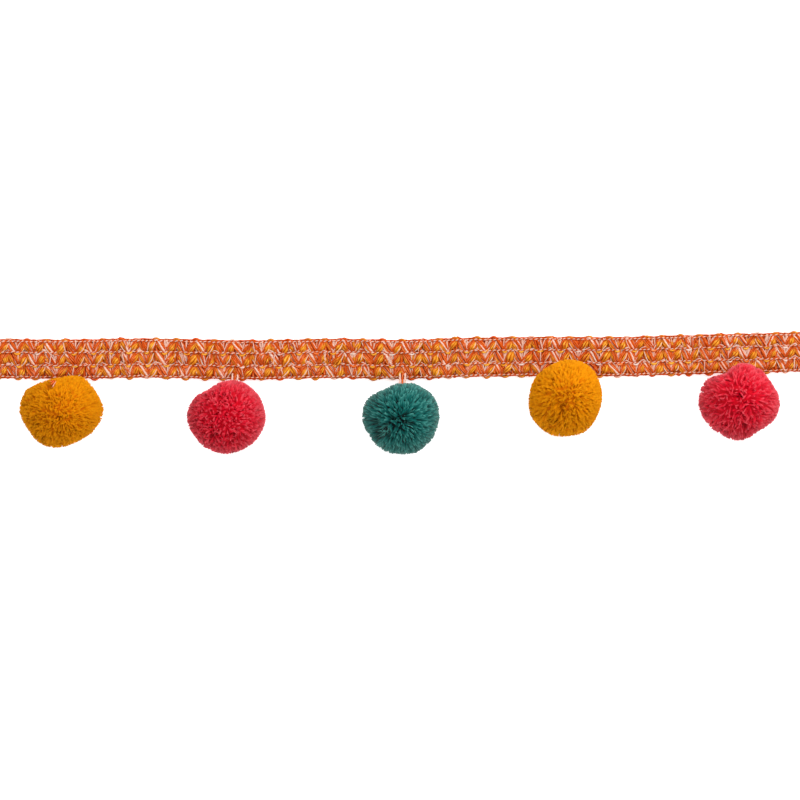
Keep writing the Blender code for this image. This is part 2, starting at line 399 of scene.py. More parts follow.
def yarnFinish(name):
    # Plies twisted together: colour and bump follow sin(around * plies + along / pitch), the colour
    # darker in the grooves between plies as painted shade. The yarn is darker down its two sides, by
    # 1 - sin(around) ^ 2, as painted shade, and lightest on its back at the belly, as a painted highlight.
    look = yarnLooks[name]
    kit = Finish("yarn_" + name, {
        "Specular IOR Level": look["gloss"],
        "Roughness": look["rough"],
    })
    places = kit.node("UVMap", {"uv_map": "twist"}, {})
    around = kit.node("SeparateXYZ", {}, {0: places}, 0)
    along = kit.node("SeparateXYZ", {}, {0: places}, 1)
    turns = around * look["plies"] + along * (1 / look["pitch"])
    ply = (turns * (2 * math.pi)).sine() * look["rope"]
    back = (around * (2 * math.pi)).sine() ** 2
    strand = kit.node("TexNoise", {}, {
        "Vector": kit.node("VectorMath", {"operation": "MULTIPLY"}, {0: places, 1: yarnSurface["fibres"]}),
        "Scale": 1.0,
        "Detail": 3.0,
    })
    # belly, read from depth: where along the yarn the painted highlight falls; it is low at a leaf's thin
    # ends and where a yarn sinks, as painted shade
    tone, belly = kit.attribute("tone"), kit.attribute("depth")
    varied = ply + (strand - 0.5) * look["grain"]
    # bodied: how far the body colour holds against the painted shade; lightened: how far the painted
    # highlight reaches
    bodied = (varied + (back - 1) * look["edge"] + belly * 1.1 + 0.4).held()
    lightened = (varied + back * 0.7 + tone * 0.5 + belly * 0.9 - 1.35).held()
    bodyAndShade = kit.mix(bodied, colour(*look["shade"]), colour(*look["body"]))
    kit.give("Base Color", kit.mix(lightened, bodyAndShade, colour(*look["lit"])))
    height = ply * 0.8 + strand * 0.5
    deep = yarnSurface["grooveDeep"] * mm
    kit.give("Normal", kit.node("Bump", {}, {"Strength": 0.6, "Distance": deep, "Height": height}))
    return kit.material


# The band, set out on its solid in the frame

band = {
    "stitches": 45,
    "tiers": 3,
    "columns": 6,          # the solid's columns of points in one stitch
    "lines": (-7.0, -2.5, 2.5, 6.8),   # the chain lines, across from the middle
    "ringsPerStitch": 12,
    "overshoot": 0.3,      # how far a zigzag turns beyond its chain line
    "sharpness": 0.975,    # of the turns, below 1
    "jitter": 0.42,        # unevenness of the turns
    "drift": 0.8,          # slow unevenness of the stitches along the band
    "edgeDrop": 0.5,       # how much lower the band is along its two edges
}


def bandPlaces():
    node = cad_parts["band"]
    places = np.empty(3 * len(node.data.vertices))
    node.data.vertices.foreach_get("co", places)
    return places.reshape(-1, 3) / mm


bandPoints = bandPlaces()
bandLow, bandHigh = bandPoints.min(0), bandPoints.max(0)
bandLength = bandHigh[0] - bandLow[0]
bandMiddle = (bandLow[0] + bandHigh[0]) / 2
stitch = bandLength / band["stitches"]
columnCount = band["stitches"] * band["columns"] + 1
columnOf = np.rint((bandPoints[:, 0] - bandLow[0]) / stitch * band["columns"]).astype(int)
columnX = bandLow[0] + np.arange(columnCount) * stitch / band["columns"]
lowerY = np.full(columnCount, np.inf)
upperY = np.full(columnCount, -np.inf)
np.minimum.at(lowerY, columnOf, bandPoints[:, 1])
np.maximum.at(upperY, columnOf, bandPoints[:, 1])
window = np.ones(2 * band["columns"] + 1) / (2 * band["columns"] + 1)
columnMiddle = np.convolve(np.pad((lowerY + upperY) / 2, band["columns"], "edge"), window, "valid")
bandWidth = float(np.median(upperY - lowerY))
lineAt = np.array(band["lines"])
peaks = np.arange(band["stitches"]) + 0.5    # the zigzags' peaks and valleys, in stitches
valleys = np.arange(1.0, band["stitches"])


def middleLine(x):
    return np.interp(x, columnX, columnMiddle)


def lowerEdge(x):
    return np.interp(x, columnX, lowerY)


def onBand(x, across, z):  # mm along, across and up, as points in metres
    fromEnd = bandLength / 2 - np.abs(x - bandMiddle)
    drifted = x + band["drift"] * wander(x, 71, 3) * smooth(0, 12, fromEnd)
    return np.stack([drifted, middleLine(drifted) + across, z], -1) * mm


def edgeDrop(across):
    return band["edgeDrop"] * smooth(bandWidth / 2 - 2.2, bandWidth / 2, np.abs(across))


mix = {                    # of each yarn: its usual share, how uneven it is and over what length in mm
    "mustard": (0.63, 0.42, 31, 40),       # and the noise's first seed
    "pale": (0.52, 0.4, 17, 60),
}


def shareAlong(yarn, x, tier):
    # A yarn's share of the mix, 0 for little and 1 for plenty: share = usual + uneven * wander(x)
    usual, uneven, length, seed = mix[yarn]
    return np.clip(usual + uneven * wander(x, length, seed + tier), 0, 1.3)


def mustardShare(x, tier):
    return shareAlong("mustard", x, tier)


def paleShare(x, tier):
    return shareAlong("pale", x, tier)


print("band", round(bandLength, 1), "x", round(bandWidth, 1), "mm, stitch", round(stitch, 3))


def zigzag(tier, shift, extra):
    # The middle of one tier's bundle of yarns: across = middle - reach * rounded triangle wave of
    # the stitch count. normal points to the outside of each peak.
    steps = band["stitches"] * band["ringsPerStitch"] + 1
    count = np.linspace(-0.02, band["stitches"] + 0.02, steps)
    uneven = np.random.default_rng(900 + tier).normal(0, band["jitter"], (2, 2 * band["stitches"] + 3))
    node = np.arange(-1, 2 * band["stitches"] + 2) / 2
    turn = 2 * math.pi * (count + shift)
    wave = np.arcsin(band["sharpness"] * np.cos(turn)) / math.asin(band["sharpness"])
    x = bandLow[0] + stitch * count + np.interp(count, node, uneven[0])
    reach = (lineAt[tier + 1] - lineAt[tier]) / 2 + extra
    middle = (lineAt[tier + 1] + lineAt[tier]) / 2
    across = middle - reach * wave + 0.5 * np.interp(count, node, uneven[1])
    slope = np.gradient(across, x)
    return {
        "count": count,
        "wave": wave,
        "x": x,
        "across": across,
        "normal": unit(np.stack([-slope, np.ones_like(slope)], 1)),
        "rising": smooth(-0.3, 0.3, np.sin(turn)),  # 1 on the legs that rise along +X
    }


def byLeg(path, pair):  # the first value on the rising legs, the second on the falling ones
    return pair[0] * path["rising"] + pair[1] * (1 - path["rising"])


def laidIn(path, tier, angle, look, seed):
    # One yarn of a bundle: offset = wide * cos(angle + roll), height = high * sin(angle + roll),
    # where the bundle rolls over as it runs along the band; it is drawn in at the turns.
    count, wave = path["count"], path["wave"]
    roll = look["roll"] * (0.7 * wander(count, 13, 500 + tier) + 0.7 * wander(count, 1.6, 520 + tier))
    turn = np.radians(angle + roll + 12 * wander(count, 2.2, seed))
    squeeze = look["squeeze"] + (1 - look["squeeze"]) * (1 - np.abs(wave) ** 5)
    away = look["wide"] * np.cos(turn) * squeeze
    x = path["x"] + path["normal"][:, 0] * away
    across = path["across"] + path["normal"][:, 1] * away
    z = look["height"] + look["high"] * np.sin(turn) + look["bulge"] * (1 - wave ** 2)
    return x, across, z - edgeDrop(across)


def yarnTube(places, radius, flat=1.0, sides=5, tone=0.5, belly=0.5):
    points = onBand(*places)[None]
    radii = np.broadcast_to(radius, places[0].shape)[None] * mm
    return tubes(points, radii, sides, flat, tone=tone, depth=belly)


# How far apart the plies lie and how thick they are, as shares of the whole yarn's radius
plySizes = {1: (0.0, 1.0), 2: (0.52, 0.54), 3: (0.56, 0.52), 4: (0.6, 0.46)}


def plied(path, places, size, plies, flat, tone, belly, seed):
    # A yarn of soft plies side by side. Ply k lies apart * size * (cos a, flat * sin a) off the
    # yarn's middle, a = 2 pi k / plies + a slow wander, and is thick * size in radius.
    x, across, z = places
    apart, thick = plySizes[plies]
    parts = []
    for ply in range(plies):
        turn = 2 * math.pi * ply / plies + 1.5 * wander(path["count"], 2.9, 900 + seed)
        aside = apart * size * np.cos(turn)
        place = (
            x + path["normal"][:, 0] * aside,
            across + path["normal"][:, 1] * aside,
            z + apart * size * flat * np.sin(turn),
        )
        radius = thick * size * (1 + 0.16 * wander(path["count"], 1.2, 950 + 7 * seed + ply))
        shade = tone + 0.3 * math.sin(2.4 * ply + seed)
        parts.append(yarnTube(place, radius, max(flat, 0.8), 4, shade, belly))
    return parts


bundle = {                 # the yarns that zigzag together along each tier
    "wide": 1.15,
    "high": 0.36,
    "height": 1.56,
    "bulge": 0.24,
    "squeeze": 0.5,
    "roll": 30,            # degrees
    "archOver": 0.34,      # how high the outermost yarn arches over the others at each peak
    "sinkDown": 0.6,       # how far the inner pale yarn sinks between the others
    # yarn, its angle about the bundle's middle and its radius, on the rising and the falling legs
    "yarns": (
        ("pale", (-4, 10), (0.36, 0.4)),
        ("coral", (56, 40), (0.34, 0.42)),
        ("pale", (84, 90), (0.2, 0.46)),
        ("coral", (96, 124), (0.28, 0.38)),
        ("mustard", (132, 150), (0.3, 0.3)),
    ),
    "over": (              # threads on the mustard's back: yarn, how far aside, radius and how often
        ("coral", 0.3, 0.22, -0.22),
        ("pale", -0.45, 0.2, -0.1),
    ),
}
backBundle = {             # the yarns behind, half a stitch on
    "wide": 0.75,
    "high": 0.1,
    "height": 1.25,
    "bulge": 0.16,
    "squeeze": 0.6,
    "roll": 15,
    "yarns": (("blush", 20, 0.4), ("coral", 160, 0.62)),   # yarn, angle and radius
}


def leafShape(path, belly, length, uneven=0.0):
    # 1 at the belly and less towards both ends; the belly lies here and there nearer to an end
    shift = belly + uneven * wander(path["count"], 1.7, 150)
    return np.exp(-((path["wave"] - shift) / length) ** 2)


def mustardRadius(path, tier):
    # A fat leaf on each rising leg, slimmer on the falling leg unless the mix is rich
    share = mustardShare(path["x"], tier)
    leaf = leafShape(path, 0.05, 0.56, 0.24)
    fat = 0.18 + (0.3 + 1.08 * np.minimum(share, 1.15)) * leaf
    thin = 0.26 + (0.16 + 0.56 * smooth(0.4, 0.9, share)) * leaf
    return byLeg(path, (fat, thin)) * (1 + 0.34 * wander(path["count"], 1.3, 130 + tier))


def coralRadius(path, tier, radius, seed):
    # Fat where the mustard is slim
    share = mustardShare(path["x"], tier)
    swell = (0.16 + byLeg(path, (0.4, 0.3)) * (1 - share)) * leafShape(path, 0.0, 0.6)
    return (radius + swell) * (1 + 0.2 * wander(path["count"], 1.1, 40 + seed))


def paleRadius(path, tier, radius, seed):
    # Thin, with thicker runs a stitch or two long, more of them where the mix is paler
    share = paleShare(path["x"], tier)
    swell = smooth(0.2, 0.7, wander(path["count"], 3.1, 240 + seed) + 1.2 * (share - 0.5))
    return radius * (0.85 + 0.3 * share + 0.2 * wander(path["count"], 0.9, 40 + seed)) + 0.16 * swell


def frontYarns(wanted):
    # The bundle's yarns of one colour, the outermost first: the mustard leaf in four plies, the
    # coral in two or three, and the pale one in two or alone
    parts = []
    for tier in range(band["tiers"]):
        path = zigzag(tier, 0, band["overshoot"])
        for order, (yarn, angles, radii) in enumerate(bundle["yarns"]):
            if yarn != wanted:
                continue
            seed = 100 * order + tier
            places = laidIn(path, tier, byLeg(path, angles), bundle, seed)
            radius = byLeg(path, radii)
            tone = 0.5 + 0.3 * math.sin(7.0 * seed)
            shown = 0.5
            if order == 0:  # over the others at each peak, but drawn in at the top edge
                peak = smooth(0.35, 1.0, -path["wave"])
                inside = 0.7 * peak * (tier == band["tiers"] - 1)
                rise = bundle["archOver"] * peak - 0.3 * inside
                places = (places[0], places[1] - inside, places[2] + rise)
            if order == 2:  # between the others for a leg or two at a time
                sunk = smooth(-0.35, 0.05, wander(path["count"], 1.9, 280 + tier))
                places = (*places[:2], places[2] - bundle["sinkDown"] * sunk)
                # where it sinks it takes the painted shade of the grooves
                shown = 0.5 - 0.6 * sunk
            if yarn == "mustard":
                size = mustardRadius(path, tier)
                lifted = places[2] + 0.3 * (size - 0.26)
                # belly: a painted highlight on the upper part of each leaf, painted shade towards its thin
                # ends
                belly = byLeg(path, (1.0, 0.6)) * leafShape(path, -0.12, 0.44, 0.24)
                parts += plied(path, (*places[:2], lifted), size, 4, 0.62, tone, belly, seed)
            elif yarn == "coral":
                plies = 3 if order == 1 else 2
                # belly: a painted highlight along the middle of each leg
                belly = 0.3 + 0.4 * leafShape(path, 0.0, 0.6)
                size = coralRadius(path, tier, radius, seed)
                parts += plied(path, places, size, plies, 0.7, tone, belly, seed)
            else:
                plies = 2 if order == 0 else 1
                size = paleRadius(path, tier, radius, seed)
                parts += plied(path, places, size, plies, 0.8, tone, shown, seed)
    return parts


def overLeaves(wanted):
    # Thin threads that lie along some of the mustard leaves, aside times the leaf's radius from the
    # middle of its back, height = 0.66 * sqrt(radius^2 - aside^2) above it, and sink away between them
    parts = []
    for tier in range(band["tiers"]):
        path = zigzag(tier, 0, band["overshoot"])
        order, angles = len(bundle["yarns"]) - 1, bundle["yarns"][-1][1]
        x, across, z = laidIn(path, tier, byLeg(path, angles), bundle, 100 * order + tier)
        size = mustardRadius(path, tier)
        for number, (yarn, aside, radius, often) in enumerate(bundle["over"]):
            if yarn != wanted:
                continue
            shift = aside * size
            shown = smooth(-0.15, 0.15, wander(path["count"], 1.4, 600 + 10 * tier + number) + often)
            top = z + 0.3 * (size - 0.26) + 0.66 * np.sqrt(size ** 2 - shift ** 2) - 0.4 * radius
            place = (
                x + path["normal"][:, 0] * shift,
                across + path["normal"][:, 1] * shift,
                np.maximum(top - 1.3 * (1 - shown), 0.8),
            )
            # where a thread sinks away it takes painted shade
            parts.append(yarnTube(place, radius, 0.8, 4, 0.5, 0.1 + 0.45 * shown))
    return parts


def backYarns():
    parts = {"blush": [], "coral": []}
    for tier in range(band["tiers"]):
        path = zigzag(tier, 0.5, -0.1)
        for yarn, angle, radius in backBundle["yarns"]:
            places = laidIn(path, tier, angle, backBundle, 700 + tier + angle)
            size = radius * (1 + 0.14 * wander(path["count"], 1.6, 430 + tier + angle))
            parts[yarn].append(yarnTube(places, size, 0.7, 4))
    return parts


filling = {                # what shows between the legs of the zigzags
    # Each kind of short strand: yarn, under a peak or in a valley, how far aside and leaning, foot
    # and head as shares of the way up the tier, radius at foot, middle and head, height and sides
    "strands": {
        "mustardValley": ("mustard", "valley", ((0.3, -1.0),), (0.2, 0.9), (0.3, 0.8, 0.5), 1.6, 6),
        "palePeak": ("pale", "peak", ((0.62, -0.5),), (0.02, 0.9), (0.2, 0.26, 0.2), 1.66, 4),
        "coralPeak": ("coral", "peak", ((0.05, 0.1),), (0.0, 0.92), (0.5, 0.6, 0.4), 1.5, 5),
        "coralValley": (
            "coral", "valley", ((0.85, 1.3), (0.3, 0.5), (-0.3, -0.4), (-0.9, -1.4)),
            (0.15, 1.0), (0.3, 0.48, 0.54), 1.5, 4,
        ),
        "blushValley": ("blush", "valley", ((0.0, 0.3),), (0.35, 1.0), (0.2, 0.34, 0.3), 1.76, 4),
        "paleFan": (
            "pale", "valley", ((-0.95, -1.9), (-0.45, -0.9), (0.1, 0.2), (0.55, 1.1), (1.0, 2.0)),
            (0.15, 1.04), (0.14, 0.2, 0.26), 1.84, 4,
        ),
        "paleRun": (
            "pale", "valley", ((0.7, 0.9), (-0.5, -0.7), (0.2, 0.3)),
            (0.4, 1.04), (0.18, 0.34, 0.4), 1.9, 4,
        ),
    },
    "uneven": (0.25, 0.35, 0.04, 0.06),    # how far they differ in place, lean, length and height
    "arch": 0.3,           # how far the middle rises above the ends
    "strays": (("coral", 0.24), ("pale", 0.18), ("coral", 0.2)),  # thin threads over the leaves
    "strayCount": 14,      # of each, in each tier
    "strayLean": 1.6,
    "strayHeight": 2.2,
    "strayArch": 0.6,
}


def standing(tier, at, aside, lean, foot, head, radius, height, sides, arch=filling["arch"]):
    # Short strands that stand across one tier, one for each of at: x in stitches, foot and head
    # as shares of the way up the tier, radius at foot, middle and head, arch the rise between them
    share = np.linspace(0, 1, 6)
    number = len(at)
    low, high = lineAt[tier], lineAt[tier + 1]
    uneven = filling["uneven"]
    x = bandLow[0] + stitch * at[:, None] + aside + rng.normal(0, uneven[0], (number, 1))
    x = x + (lean + rng.normal(0, uneven[1], (number, 1))) * (share - 0.5)
    rise = foot + (head - foot) * share + rng.normal(0, uneven[2], (number, 1))
    across = low + (high - low) * rise
    z = height + rng.normal(0, uneven[3], (number, 1)) + arch * np.sin(math.pi * share) - edgeDrop(across)
    size = np.interp(share, (0, 0.55, 1), radius) * rng.uniform(0.8, 1.2, (number, 1))
    tone = rng.uniform(0.15, 0.85, number)
    return tubes(onBand(x, across, z), size * mm, sides, 0.62, tone=tone, depth=0.55 - 0.3 * share)


def some(places, share):  # a share of them, picked at random
    return places[rng.uniform(0, 1, len(places)) < share]


def fillings():
    # Between the legs of each tier, with more of the mustard and of the pale yarn in their own runs
    places = {"peak": peaks, "valley": valleys}
    valleyX = bandLow[0] + stitch * valleys
    parts = {"pale": [], "coral": [], "blush": [], "mustard": []}
    for tier in range(band["tiers"]):
        paler = paleShare(valleyX, tier)
        often = {          # how often a kind is there, from 0 to 1; a kind that isn't named always is
            "mustardValley": (mustardShare(valleyX, tier) - 0.62) / 0.53,
            "palePeak": 0.55,
            "blushValley": 0.5,
            "paleFan": 0.1 + 0.7 * paler,
            "paleRun": 0.15 + smooth(0.35, 1.0, paler),
        }
        for kind, (yarn, where, leans, ends, radius, height, sides) in filling["strands"].items():
            for aside, lean in leans:
                at = some(places[where], often[kind]) if kind in often else places[where]
                parts[yarn].append(standing(tier, at, aside, lean, *ends, radius, height, sides))
        at = rng.uniform(1, band["stitches"] - 1, filling["strayCount"])
        for yarn, radius in filling["strays"]:
            lean = filling["strayLean"] * rng.uniform(-1, 1, (len(at), 1))
            parts[yarn].append(standing(
                tier, at, 0, lean, 0.04, 0.96, (radius, radius * 1.3, radius),
                filling["strayHeight"], 4, filling["strayArch"]))
            at = rng.permutation(at + 0.3)
    return parts


arcs = {                   # short arcs where the mustard yarn turns
    "wide": (1.2, 1.7),    # half an arc's width, from and to
    "rise": (0.8, 1.15),
    "dip": 0.2,
    "tilt": 0.14,
    "height": 2.04,
    "edgeHeight": 1.15,    # along the band's two edges
    "bulge": 0.24,
    "radius": (0.4, 0.56),
    "coral": 0.1,          # how many are coral, and how many are pale
    "pale": 0.12,
    "edgeCoral": 0.18,     # how many more are coral along the two edges
}


def smiles():
    # In the valleys below the lower line of each tier, and at the peaks above the top edge:
    # across = line + side * (rise * (1 - s^2) - dip), s from -1 to 1
    s = np.linspace(-1, 1, 8)
    parts = {"mustard": [], "coral": [], "pale": []}
    for line, level in enumerate(lineAt):
        top = line == band["tiers"]
        edge = line in (0, band["tiers"])
        side = 1 if top else -1
        at = peaks if top else valleys
        number = len(at)
        wide = rng.uniform(*arcs["wide"], (number, 1)) * (1.3 if edge else 1)
        rise = rng.uniform(*arcs["rise"], (number, 1)) * (1.1 if top else 1.25 if edge else 1)
        tilt = rng.normal(0, arcs["tilt"], (number, 1))
        x = bandLow[0] + stitch * at[:, None] + rng.normal(0, 0.3, (number, 1)) + wide * s
        across = level + side * (rise * (1 - s ** 2) - arcs["dip"]) + tilt * s
        z = (arcs["edgeHeight"] if edge else arcs["height"]) + arcs["bulge"] * (1 - s ** 2) + 0 * x
        fat = rng.uniform(*arcs["radius"], (number, 1)) * (0.4 + 0.6 * np.sqrt(1 - 0.9 * s ** 2))
        # painted shade on the arcs along the two edges, lower in tone and depth; depth puts a painted
        # highlight a little past each arc's middle
        tone = rng.uniform(0.3, 1.0, number) - (0.3 if edge else 0)
        draw = rng.uniform(0, 1, number) - (arcs["edgeCoral"] if edge else 0)
        depth = (0.4 if edge else 0.9) - 0.9 * (s - 0.2) ** 2
        coral = draw < arcs["coral"]
        mustard = draw >= arcs["coral"] + arcs["pale"]
        kinds = {"coral": (coral, 1.0), "pale": (~coral & ~mustard, 0.7), "mustard": (mustard, 1.0)}
        for yarn, (kept, slim) in kinds.items():
            places = onBand(x, across, z)[kept]
            parts[yarn].append(tubes(places, fat[kept] * slim * mm, 6, 0.85, tone=tone[kept], depth=depth))
    return parts


underside = {              # the wrong side: flatter zigzags, low against the ground of the knit
    "yarns": {"mustard": 0.42, "coral": 0.36, "blush": 0.28},   # yarn and radius
    "apart": 0.31,         # each yarn this many stitches after the one before
    "overshoot": 0.2,
    "height": 0.47,
    "ringsPerStitch": 8,
}


def underYarns():
    # Each across = middle + reach * sin(turn), turn once in a stitch
    parts = {yarn: [] for yarn in underside["yarns"]}
    steps = band["stitches"] * underside["ringsPerStitch"] + 1
    count = np.linspace(0, band["stitches"], steps)
    for tier in range(band["tiers"]):
        middle = (lineAt[tier] + lineAt[tier + 1]) / 2
        reach = (lineAt[tier + 1] - lineAt[tier]) / 2 + underside["overshoot"]
        for order, (yarn, radius) in enumerate(underside["yarns"].items()):
            seed = 3 * tier + order
            turn = 2 * math.pi * (count + underside["apart"] * order) + 0.4 * wander(count, 2.3, 800 + seed)
            across = middle + reach * np.sin(turn) * (1 + 0.08 * wander(count, 1.7, 830 + tier + order))
            x = bandLow[0] + stitch * count + 0.4 * wander(count, 1.9, 860 + seed)
            z = underside["height"] + 0.08 * np.cos(turn + order) + 0.25 * smooth(6.5, 8, np.abs(across))
            size = radius * (1 + 0.2 * wander(count, 0.8, 890 + order))
            parts[yarn].append(yarnTube((x, across, z), size, 0.75, 4))
    return parts


chain = {                  # two threads that pass over one another along each chain line
    "perStitch": 4,
    "radius": (0.22, 0.25),
    "height": 2.36,
    "edgeHeight": 2.0,     # on the two outer lines
    "swingUp": 0.2,
    "swingAside": 0.12,
    "beyond": 0.35,        # past the band's ends
}


def chainThreads(order):
    # Each one's height and radius follow a cosine of the chain stitches, the two half a turn apart
    parts = []
    rings = band["stitches"] * chain["perStitch"] * 5 + 1
    along = np.linspace(-chain["beyond"], bandLength + chain["beyond"], rings)
    for line, level in enumerate(lineAt):
        steps = along / stitch * chain["perStitch"] + 0.5 * order
        turn = 2 * math.pi * steps + 1.1 * wander(along, 21, 50 + line)
        over = np.cos(turn)
        y = level + chain["swingAside"] * np.sin(turn) + 0.2 * wander(along, 9, 60 + line) - 0.04 * order
        height = chain["edgeHeight"] if line in (0, band["tiers"]) else chain["height"]
        z = height + chain["swingUp"] * over - 0.1 * order + 0.16 * wander(along, 4, 64 + line)
        uneven = 1 + 0.3 * wander(along, 3.3, 67 + line)
        radius = chain["radius"][order] * (0.7 + 0.42 * over) * uneven
        places = onBand(bandLow[0] + along, y, z)[None]
        parts.append(tubes(places, radius[None] * mm, 4, tone=0.6))
    return parts


edging = {                 # a thread along each edge, with a small loop at each turn of the zigzag
    "away": 7.45,          # from the middle line
    "loop": 0.28,
    "radius": 0.26,
    "height": 1.3,
    "beyond": 0.5,         # past the band's ends
    "ringsPerStitch": 12,
}


def edgeThreads():
    # Each loop follows max(0, cosine)^1.5 of the stitches, on the side where the zigzag turns
    parts = []
    steps = band["stitches"] * edging["ringsPerStitch"] + 1
    along = np.linspace(-edging["beyond"], bandLength + edging["beyond"], steps)
    for side in (-1, 1):
        loop = np.maximum(0, -side * np.cos(2 * math.pi * along / stitch)) ** 1.5
        uneven = 0.16 * wander(along, 13, 70 + side) + 0.1 * wander(along, 3.1, 72 + side)
        across = side * (edging["away"] + edging["loop"] * loop + uneven)
        z = edging["height"] - 0.2 * loop + 0.15 * wander(along, 5, 74 + side)
        radius = edging["radius"] * (1 + 0.2 * wander(along, 4, 78 + side))
        places = onBand(bandLow[0] + along, across, z)[None]
        parts.append(tubes(places, radius[None] * mm, 4, tone=0.5))
    return parts


knitGround = {             # the close ground of the knit, as one flattened oval
    "inset": 0.6,          # from the band's edges
    "endInset": 0.2,
    "height": 1.0,
    "flat": 0.05,          # its thickness as a share of its width
}


def backing():
    # An oval section carried along the middle line
    along = np.linspace(knitGround["endInset"], bandLength - knitGround["endInset"], 241)
    x = bandLow[0] + along
    places = onBand(x, 0 * x, np.full_like(x, knitGround["height"]))[None]
    radius = np.full((1, len(x)), bandWidth / 2 - knitGround["inset"]) * mm
    return tubes(places, radius, 16, knitGround["flat"], tone=0.3, tip=0.01)


print("band yarns")
materials = {yarn + "Yarn": yarnFinish(yarn) for yarn in yarnLooks}
ground = addPiece("band_ground", [backing()], materials["coralYarn"], ["band"])
turns, behind, between, under = smiles(), backYarns(), fillings(), underYarns()
bandYarns = {              # each piece's finish and its threads
    "band_mustard_yarns": ("mustardYarn", frontYarns("mustard") + between["mustard"] + turns["mustard"]),
    "band_coral_yarns": ("coralYarn", frontYarns("coral") + overLeaves("coral") + turns["coral"]),
    "band_pale_yarns": (
        "paleYarn", frontYarns("pale") + overLeaves("pale") + between["pale"] + turns["pale"]),
    "band_fill_coral": ("coralYarn", behind["coral"] + between["coral"]),
    "band_fill_blush": ("blushYarn", behind["blush"] + between["blush"]),
    "band_under_mustard": ("mustardYarn", under["mustard"]),
    "band_under_coral": ("coralYarn", under["coral"]),
    "band_under_blush": ("blushYarn", under["blush"]),
    "band_chain_pale": ("paleYarn", chainThreads(0)),
    "band_chain_coral": ("coralYarn", chainThreads(1) + edgeThreads()),
}
bandPieces = [addPiece(name, parts, materials[finish]) for name, (finish, parts) in bandYarns.items()]
round(bandLength * mm, 4)


# Pompoms

pompom = {
    "centreHeight": 13.4,
    "reachUp": 15.0,
    "meanReach": 14.6,     # turns an angle over the ball into a length
    "partHeight": 14.8,    # of the parting, above the middle
    "rootShare": 0.76,     # of the way to the tips, where the strands begin
    "coreShare": 0.865,
    "clearance": 0.35,     # from the band
    "restGap": 0.15,       # from the surface
    "strands": 8700,
    "thick": 0.2,          # radius of a strand
    "rings": (0.42, 0.87),         # where along a strand its two rings lie
    "ringSizes": (1.15, 0.9),      # their radius, as a share of the strand's
    "lowest": 0.3,         # of any point of a strand
    "fuzz": 700,           # finer hairs that stand out
    "fuzzThick": 0.05,
    "fuzzLonger": 0.35,
    "cleftDepth": 3.4,     # how much shorter the ends are in a gap
    "coreCleft": 2.6,      # how far the core draws in there
    "coarse": 0.72,        # how much more the ends gather on the coarse side than on the other
    "coarseSide": (-0.8, -0.4, 0.45),
}

# Middle of each pompom and how far its ends reach, seen from above, in twelve even directions from
# +X turning towards +Y. tuft: mean width of a yarn end; gather: how far its hairs draw together;
# dome: how far the outer hairs of an end fall short; uneven and tangle: how far the ends differ
# in length and lean; part: where the pile parts, from the middle, and how strongly; clefts: gaps.
pompoms = {
    "mustard_left": {
        "yarn": "mustard", "at": (-132.2, -7.39), "tieX": -133.6, "tieFrom": 0.4,
        "tuft": 0.86, "gather": 0.32, "dome": 0.08, "uneven": 0.11, "tangle": 0.05,
        "reach": (16.8, 15.9, 15.8, 13.4, 13.6, 15.8, 15.9, 14.5, 14.7, 14.0, 13.5, 14.9),
        "part": (0.5, -1.0, 0.12),
        "clefts": (((0.4, -2.4), (1.6, -2.2), 0.5), ((-3.6, 10.6), (-2.6, 12.8), 1.1)),
    },
    "pink_left": {
        "yarn": "pink", "at": (-68.1, -9.39), "tieX": -65.0,
        "tuft": 1.1, "gather": 0.42, "dome": 0.16, "uneven": 0.14, "tangle": 0.07,
        "reach": (15.6, 15.3, 15.2, 14.2, 12.8, 14.3, 15.2, 14.4, 14.3, 14.5, 14.7, 15.3),
        "part": (-1.5, -5.5, 0.05),
        "clefts": (
            ((-5.2, -8.6), (-2.8, -7.6), 0.8), ((-6.8, -4.8), (-5.0, -6.6), 0.5),
            ((-2.9, -0.5), (-2.4, 1.0), 0.3),
        ),
    },
    "teal": {
        "yarn": "teal", "at": (-0.2, -9.99), "tieX": 0.6,
        "tuft": 1.05, "gather": 0.62, "dome": 0.26, "uneven": 0.2, "tangle": 0.045,
        "reach": (15.3, 15.6, 14.8, 13.8, 13.2, 15.0, 15.1, 13.9, 14.2, 14.1, 14.7, 14.9),
        "part": (-0.4, -0.4, 0.58),
        "clefts": (
            ((-11.2, -1.3), (-9.6, -1.1), 1.0), ((-9.4, -5.0), (-6.6, -3.1), 0.9),
            ((-9.6, -7.2), (-5.6, -5.6), 1.0), ((2.4, 1.6), (7.6, 5.2), 0.5),
            ((3.0, -1.6), (5.6, -2.2), 0.5), ((-5.6, 0.2), (-2.4, 0.2), 0.4),
        ),
    },
    "mustard_right": {
        "yarn": "mustard", "at": (64.0, -1.79), "tieX": 63.6,
        "tuft": 1.08, "gather": 0.42, "dome": 0.11, "uneven": 0.14, "tangle": 0.06,
        "reach": (14.1, 14.8, 15.2, 14.6, 14.0, 14.2, 14.5, 15.5, 15.9, 15.5, 15.4, 14.5),
        "part": (1.7, 0.6, 0.3),
        "clefts": (((-3.0, -7.4), (-2.2, -4.2), 0.75), ((-5.4, -11.6), (-3.2, -8.0), 0.4)),
    },
    "pink_right": {
        "yarn": "pink", "at": (131.8, -3.29), "tieX": 132.0,
        "tuft": 1.3, "gather": 0.6, "dome": 0.28, "uneven": 0.18, "tangle": 0.08,
        "reach": (15.4, 14.1, 14.7, 15.0, 12.7, 15.7, 16.5, 15.8, 15.2, 15.4, 13.8, 15.0),
        "part": (-0.5, 2.2, 0.25),
        "clefts": (
            ((-2.2, 2.2), (0.2, 2.4), 0.4), ((0.4, -2.6), (0.8, -0.8), 0.4),
            ((0.2, -11.4), (0.9, -10.6), 0.4),
        ),
    },
}


